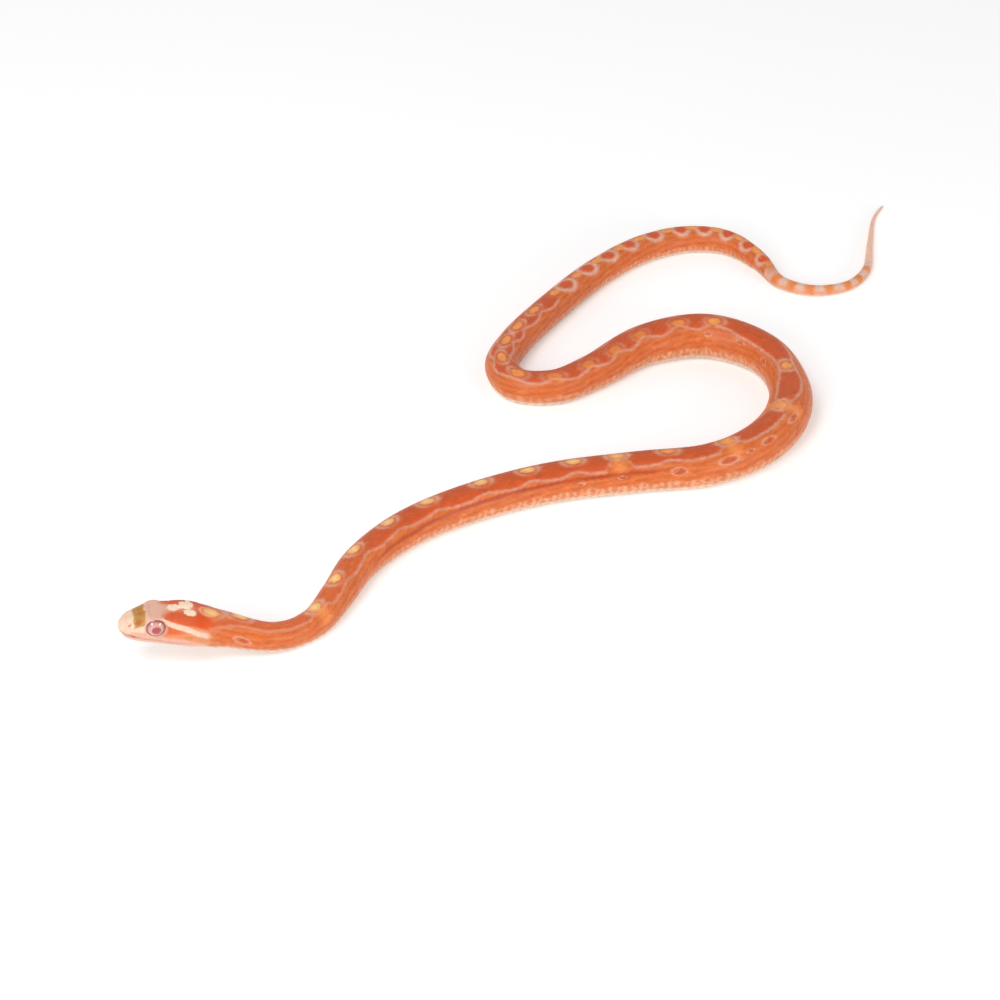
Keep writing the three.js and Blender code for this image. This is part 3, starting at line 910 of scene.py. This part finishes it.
def make_scales(name, roots, material, draw):
    """One joined mesh of closed, lens-shaped scales."""
    count = len(roots)
    a, b = np.meshgrid(np.linspace(0, 1, SCALE_ALONG), np.linspace(-1, 1, SCALE_ACROSS), indexing="ij")
    a = np.append(a.ravel(), 0.45)
    b = np.append(b.ravel(), 0.0)
    under = len(a) - 1
    place, share, spacing = (roots[:, k][:, None] for k in range(3))
    girth = half_girth(place)
    row_gap = spacing * girth
    size = np.clip(row_gap / 0.55, 0.2, 1.25) * (1 + draw.normal(0, 0.04, (count, 1)))
    length = SCALE_PITCH * SCALE_OVERLAP * row_gap
    turn = draw.normal(0, 0.03, (count, 1))
    far = place + a * length
    out = share + (b * SCALE_WIDTH * scale_outline(a) * row_gap + turn * (a - 0.4) * length) / girth
    keel = KEEL * np.clip(1 - np.abs(b) * 3, 0, 1) * step_between(0.45, 0.15, np.abs(share))
    lens = LENS * (1 - np.abs(b) ** 2.2) * step_between(0, 0.4, a) * scale_outline(a) ** 2
    size = size * (0.4 + 0.6 * step_between(11, 17, place))
    height = (TIP_LIFT * a ** 1.15 - ROOT_SINK * (1 - a) ** 3 + lens + keel) * size
    height[:, under] = (TIP_LIFT * 0.45 * size[:, 0]) - 0.04 * size[:, 0]
    far = np.minimum(far, LENGTH - 0.25)
    height = height - coat_depth(place)
    flat_place = far.ravel()
    flat_share = out.ravel()
    points = raised(flat_place, flat_share, height.ravel())
    middle_place = np.repeat(place[:, 0] + 0.45 * length[:, 0], len(a))
    own = markings(flat_place, flat_share)
    shared = markings(middle_place, np.repeat(share[:, 0], len(a)))
    tone = 1 + draw.normal(0, 0.045, (count, 1)) + 0 * a
    # Painted light: each scale's rim and tip are brightened to offset the shade that falls between overlapping
    # scales
    rim = np.clip(np.maximum(np.abs(b), 1.15 * a - 0.1), 0, 1) ** 4 + 0 * place
    colours = (0.82 * own + 0.18 * shared) * tone.ravel()[:, None]
    colours = colours * (1 + rim.ravel()[:, None] * np.array([0.08, 0.16, 0.18]))
    quads, fan = grid_faces(SCALE_ALONG, SCALE_ACROSS)
    offsets = (np.arange(count) * len(a))[:, None, None]
    faces = [(quads[None] + offsets).reshape(-1, 4), (fan[None] + offsets).reshape(-1, 3)]
    rim_edges = faces[1][:, :2].astype(np.int64)
    piece, corners = new_mesh(name, points, faces, np.clip(colours, 0, 1), material, rim_edges)
    add_unwrap(piece, patches(place[:, 0], (share * girth)[:, 0], a - 0.5, b / 2)[corners])
    return piece


BELLY_LIMIT = 0.7
BELLY_START = 13.2
BELLY_PITCH = 1.27
TAIL_BELLY_PITCH = 0.88
BELLY_ALONG = 4
BELLY_ACROSS = 21


def belly_plates():
    """Distance, length and the share round where each belly plate starts and ends."""
    plates = []
    place = BELLY_START
    while place < VENT - BELLY_PITCH:
        plates.append((place, BELLY_PITCH * 1.35, BELLY_LIMIT, 2 - BELLY_LIMIT))
        place += BELLY_PITCH
    for start, end in ((BELLY_LIMIT, 1.01), (0.99, 2 - BELLY_LIMIT)):
        plates.append((place, BELLY_PITCH * 1.6, start, end))
    place += BELLY_PITCH * 1.2
    while place < LENGTH - 1.6:
        for start, end in ((BELLY_LIMIT, 0.995), (1.005, 2 - BELLY_LIMIT)):
            plates.append((place, TAIL_BELLY_PITCH * 1.35, start, end))
        place += TAIL_BELLY_PITCH * max(0.5, half_girth(place) / 4)
    return np.array(plates)


def make_belly(material, draw):
    """Wide plates under the body, single on the trunk and paired under the tail."""
    plates = belly_plates()
    count = len(plates)
    a, b = np.meshgrid(np.linspace(0, 1, BELLY_ALONG), np.linspace(0, 1, BELLY_ACROSS), indexing="ij")
    a = a.ravel()
    b = b.ravel()
    place, length, start, end = (plates[:, k][:, None] for k in range(4))
    ends = step_between(0, 0.12, b) * step_between(1, 0.88, b)
    far = place + a * length * (0.75 + 0.25 * ends)
    far = np.minimum(far, LENGTH - 0.3)
    round_way = start + b * (end - start) + 0 * a
    share = np.where(round_way > 1, round_way - 2, round_way)
    depth = coat_depth(place)
    slim = depth / COAT_DEPTH
    top = (0.03 + 0.085 * a ** 1.2 + 0.02 * ends) * slim - depth
    under = (-0.02 + 0.075 * a) * slim - depth
    heights = np.concatenate([top.ravel(), (under + 0 * b).ravel()])
    all_place = np.concatenate([far.ravel(), far.ravel()])
    all_share = np.concatenate([share.ravel(), share.ravel()])
    points = raised(all_place, all_share, heights)
    tone = np.repeat(1 + draw.normal(0, 0.03, count), len(a))
    edge = np.tile(1 - 0.1 * step_between(0.7, 1.0, a), count)
    colours = markings(all_place, all_share) * np.tile(tone * edge, 2)[:, None]
    quads, fan = grid_faces(BELLY_ALONG, BELLY_ACROSS)
    outline = fan[:, 1]
    low = count * len(a)
    offsets = (np.arange(count) * len(a))[:, None, None]
    rim = np.column_stack([np.roll(outline, -1), outline, outline + low, np.roll(outline, -1) + low])
    groups = [quads[None] + offsets, quads[None, :, ::-1] + offsets + low, rim[None] + offsets]
    faces = [np.concatenate([group.reshape(-1, 4) for group in groups])]
    piece, corners = new_mesh("scales_belly", points, faces, np.clip(colours, 0, 1), material)
    root_share = ((start + end) / 2 - 2 * ((start + end) / 2 > 1.0))[:, 0]
    patch = patches(place[:, 0], root_share * half_girth(place[:, 0]), a - 0.5, b - 0.5)
    add_unwrap(piece, np.tile(patch, (2, 1))[corners])
    return piece


EYE_LENS_RADIUS = 1.53
PUPIL_DROP = 0.13


def make_eye(side_name, material):
    """A fine eye dome in the place of its solid, with each point's way from the pupil kept for the iris."""
    centre, along, up, out = eye_axes(side_name)
    sides = 96
    front_ways = np.linspace(0, EYE_LENS_RADIUS, 44)[1:]
    back_share = np.array([1.0, 0.8, 0.5, 0.2])
    rim_stand = float(eye_dome(EYE_LENS_RADIUS))
    ways = np.concatenate([front_ways, EYE_LENS_RADIUS * back_share])
    stands = np.concatenate([eye_dome(front_ways), rim_stand - 0.06 - 0.2 * (1 - back_share)])
    turn = np.linspace(0, 2 * math.pi, sides, endpoint=False)
    side_way = np.append(np.outer(ways, np.cos(turn)).ravel(), [0.0, 0.0])
    up_way = np.append(np.outer(ways, np.sin(turn)).ravel(), [0.0, 0.0])
    stand = np.append(np.repeat(stands, sides), [EYE_DEPTH, rim_stand - 0.28])
    points = centre + np.outer(side_way, along) + np.outer(up_way, up) + np.outer(stand, out)
    quads = np.concatenate([ring_faces(k * sides, (k + 1) * sides, sides) for k in range(len(ways) - 1)])
    k = np.arange(sides)
    front = np.column_stack([np.full(sides, len(points) - 2), (k + 1) % sides, k])
    base = (len(ways) - 1) * sides
    back = np.column_stack([base + k, base + (k + 1) % sides, np.full(sides, len(points) - 1)])
    faces = [quads, front, back]
    if np.cross(along, up) @ out > 0:
        faces = [group[:, ::-1] for group in faces]
    piece, _ = new_mesh("ball_" + side_name, points, faces, np.ones((len(points), 3)), material)
    iris = piece.data.attributes.new(name="from_pupil", type="FLOAT", domain="POINT")
    far = np.hypot(side_way - 0.06, up_way + PUPIL_DROP)
    rim = np.hypot(side_way, up_way)
    blend = step_between(0.75, 1.35, rim)
    iris.data.foreach_set("value", (far * (1 - blend) + rim * blend).astype(np.float32))
    return piece


def feed(tree, node, values, sources):
    """Sets a node's fixed values and links the outputs that feed its other inputs."""
    for socket, value in values.items():
        node.inputs[socket].default_value = value
    for socket, source in sources.items():
        tree.links.new(source, node.inputs[socket])


def add_node(tree, kind, values, sources, **settings):
    """A new shader node with its settings, its values and what feeds it; gives back its outputs."""
    node = tree.nodes.new("ShaderNode" + kind)
    for name, value in settings.items():
        setattr(node, name, value)
    feed(tree, node, values, sources)
    return node.outputs


def new_material(name):
    material = bpy.data.materials.new(name)
    material.use_nodes = True
    return material, material.node_tree, material.node_tree.nodes["Principled BSDF"]


LOOK_INPUTS = ("Mottle Size", "Mottle Strength", "Least Roughness", "Most Roughness")
SKIN_LOOK = dict(zip(LOOK_INPUTS, (1800.0, 0.16, 0.34, 0.5)))
SCALE_LOOK = dict(zip(LOOK_INPUTS, (2600.0, 0.12, 0.32, 0.46)))
BELLY_LOOK = dict(zip(LOOK_INPUTS, (2600.0, 0.06, 0.32, 0.46)))


def make_living_colour():
    """A shader group: the painted markings with fine mottling, and matching roughness and relief."""
    group = bpy.data.node_groups.new("living colour", "ShaderNodeTree")
    sockets = group.interface
    for name, value in SCALE_LOOK.items():
        socket = sockets.new_socket(name=name, in_out="INPUT", socket_type="NodeSocketFloat")
        socket.default_value = value
    sockets.new_socket(name="Color", in_out="OUTPUT", socket_type="NodeSocketColor")
    for name in ("Roughness", "Height"):
        sockets.new_socket(name=name, in_out="OUTPUT", socket_type="NodeSocketFloat")
    given = group.nodes.new("NodeGroupInput").outputs
    painted = add_node(group, "Attribute", {}, {}, attribute_name="markings")["Color"]
    place = add_node(group, "TexCoord", {}, {})["Object"]
    mottle = add_node(group, "TexNoise", {"Detail": 4.0}, {"Vector": place, "Scale": given["Mottle Size"]})
    fine = add_node(group, "TexNoise", {"Scale": 9000.0, "Detail": 3.0}, {"Vector": place})["Fac"]
    spread = add_node(group, "Math", {1: 0.5}, {0: mottle["Fac"]}, operation="SUBTRACT")[0]
    lightness = add_node(group, "Math", {2: 1.0}, {0: spread, 1: given["Mottle Strength"]},
                         operation="MULTIPLY_ADD")[0]
    shift = add_node(group, "HueSaturation", {}, {"Color": painted, "Value": lightness})["Color"]
    least, most = given["Least Roughness"], given["Most Roughness"]
    gloss = add_node(group, "MapRange", {}, {"Value": fine, "To Min": least, "To Max": most})["Result"]
    result = group.nodes.new("NodeGroupOutput")
    feed(group, result, {}, {"Color": shift, "Roughness": gloss, "Height": fine})
    return group


def living_material(name, group, look, bump_height):
    """Satin living surface: painted markings, soft light under the surface, a thin gloss."""
    material, tree, shader = new_material(name)
    living = add_node(tree, "Group", look, {}, node_tree=group)
    relief = add_node(tree, "Bump", {"Strength": 0.25, "Distance": bump_height}, {"Height": living["Height"]})
    soft_light = {"Subsurface Weight": 0.12, "Subsurface Radius": (1.0, 0.4, 0.22), "Subsurface Scale": 0.0006}
    feed(tree, shader, {**soft_light, "Specular IOR Level": 0.3},
         {"Base Color": living["Color"], "Roughness": living["Roughness"], "Normal": relief["Normal"]})
    return material


PUPIL = (172, 40, 52)
PUPIL_EDGE = (160, 92, 92)
IRIS = (206, 156, 144)
IRIS_OUTER = (190, 118, 112)
IRIS_RIM = (120, 46, 58)
IRIS_EDGE = (214, 158, 144)
EYE_RINGS = ((0.0, PUPIL), (0.38, PUPIL), (0.45, PUPIL_EDGE), (0.52, IRIS), (0.66, IRIS), (0.78, IRIS_OUTER),
             (0.87, IRIS_RIM), (0.97, IRIS_EDGE))


def make_eye_material():
    """Wet eye of an animal without dark pigment: red pupil, pink iris, plum rim."""
    material, tree, shader = new_material("eye wet gloss")
    way = add_node(tree, "Attribute", {}, {}, attribute_name="from_pupil")["Fac"]
    place = add_node(tree, "TexCoord", {}, {})["Object"]
    streak = add_node(tree, "TexNoise", {"Scale": 1800.0, "Detail": 5.0}, {"Vector": place})["Fac"]
    uneven = add_node(tree, "Math", {1: 0.16}, {0: streak, 2: way}, operation="MULTIPLY_ADD")[0]
    share = add_node(tree, "Math", {1: 1.66}, {0: uneven}, operation="DIVIDE")[0]
    rings = tree.nodes.new("ShaderNodeValToRGB")
    ramp = rings.color_ramp.elements
    while len(ramp) < len(EYE_RINGS):
        ramp.new(0.5)
    for stop, (position, colour) in zip(ramp, EYE_RINGS):
        stop.position = position
        stop.color = (*paint(colour), 1)
    feed(tree, rings, {}, {"Fac": share})
    wet = {"Roughness": 0.2, "Coat Weight": 1.0, "Coat Roughness": 0.03}
    soft_light = {"Subsurface Weight": 0.15, "Subsurface Radius": (1.0, 0.3, 0.3), "Subsurface Scale": 0.0005}
    feed(tree, shader, {**wet, **soft_light}, {"Base Color": rings.outputs["Color"]})
    return material


CAMERA_LOW = math.radians(34)
CAMERA_TARGET = np.array([-8.0, -27.5, 0.0]) * MM
CAMERA_FAR = 490 * MM
CAMERA_LENS = 108.0

# Light, in metres and watts; the small lights make the two bright spots on the left eye
SURROUND_STRENGTH = 0.59
FLOOR_HALF = 3.0
EYE_LIGHT_FAR = 0.6
EYE_LIGHTS = (
    ("left eye light", (-0.348, -0.819, 0.449), 0.2, 1.1),
    ("right eye light", (0.827, -0.523, 0.207), 0.17, 0.8),
)


def place_camera():
    camera = bpy.data.objects.new("camera", bpy.data.cameras.new("camera"))
    camera.data.lens = CAMERA_LENS
    camera.data.sensor_width = 36.0
    camera.data.clip_start = 0.01
    camera.location = CAMERA_TARGET + CAMERA_FAR * np.array([0, -math.cos(CAMERA_LOW), math.sin(CAMERA_LOW)])
    camera.rotation_euler = (math.pi / 2 - CAMERA_LOW, 0, 0)
    bpy.context.scene.collection.objects.link(camera)
    bpy.context.scene.camera = camera


def add_softbox(name, place, aim, size, power):
    lamp = bpy.data.lights.new(name, "AREA")
    lamp.size = size
    lamp.energy = power
    holder = bpy.data.objects.new(name, lamp)
    holder.location = place
    direction = np.array(aim) - np.array(place)
    holder.rotation_euler = (math.atan2(math.hypot(direction[0], direction[1]), -direction[2]), 0,
                             math.atan2(direction[1], direction[0]) - math.pi / 2)
    bpy.context.scene.collection.objects.link(holder)


def make_studio():
    """A pale floor, an even white surround and three soft lights."""
    scene = bpy.context.scene
    scene.view_settings.view_transform = "Standard"
    world = bpy.data.worlds.new("white surround")
    world.use_nodes = True
    tree = world.node_tree
    feed(tree, tree.nodes["Background"], {"Color": (1, 1, 1, 1), "Strength": SURROUND_STRENGTH}, {})
    scene.world = world
    mesh = bpy.data.meshes.new("floor")
    half = FLOOR_HALF
    corners = [(-half, -half, 0), (half, -half, 0), (half, half, 0), (-half, half, 0)]
    mesh.from_pydata(corners, [], [(0, 1, 2, 3)])
    paper, tree, shader = new_material("white paper")
    grain = add_node(tree, "TexNoise", {"Scale": 40.0}, {})["Fac"]
    tone = add_node(tree, "MapRange", {"To Min": 0.95, "To Max": 0.97}, {"Value": grain})["Result"]
    glow = {"Emission Color": (1, 1, 1, 1), "Emission Strength": 0.13}
    feed(tree, shader, {"Roughness": 0.8, "Specular IOR Level": 0.1, **glow}, {"Base Color": tone})
    mesh.materials.append(paper)
    floor = bpy.data.objects.new("floor", mesh)
    scene.collection.objects.link(floor)
    add_softbox("overhead softbox", (-0.24, -0.34, 0.62), (0, 0, 0), 0.35, 1.85)
    eye = eye_axes("eye_left")[0] * MM
    for name, toward, size, power in EYE_LIGHTS:
        add_softbox(name, eye + EYE_LIGHT_FAR * np.array(toward), eye, size, power)


def build_snake():
    draw = np.random.default_rng(7)
    group = make_living_colour()
    skin = make_skin(living_material("skin with plates", group, SKIN_LOOK, 0.00002))
    flesh = [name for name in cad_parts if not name.startswith("eye")]
    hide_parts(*flesh)
    pieces = [skin]
    scale_material = living_material("satin scales", group, SCALE_LOOK, 0.00002)
    roots = scale_roots()
    back = np.abs(roots[:, 1]) < BACK_SHARE
    fore = roots[:, 0] < BACK_SPLIT
    left = roots[:, 1] > 0
    pieces.append(make_scales("scales_back_fore", roots[back & fore], scale_material, draw))
    pieces.append(make_scales("scales_back_rear", roots[back & ~fore], scale_material, draw))
    pieces.append(make_scales("scales_left", roots[~back & left], scale_material, draw))
    pieces.append(make_scales("scales_right", roots[~back & ~left], scale_material, draw))
    pieces.append(make_belly(living_material("belly plates", group, BELLY_LOOK, 0.00001), draw))
    for piece in pieces:
        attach(piece, "root")
    eye_material = make_eye_material()
    for side_name in EYES:
        eye = make_eye(side_name, eye_material)
        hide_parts(side_name)
        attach(eye, "root")


place_camera()
make_studio()
build_snake()
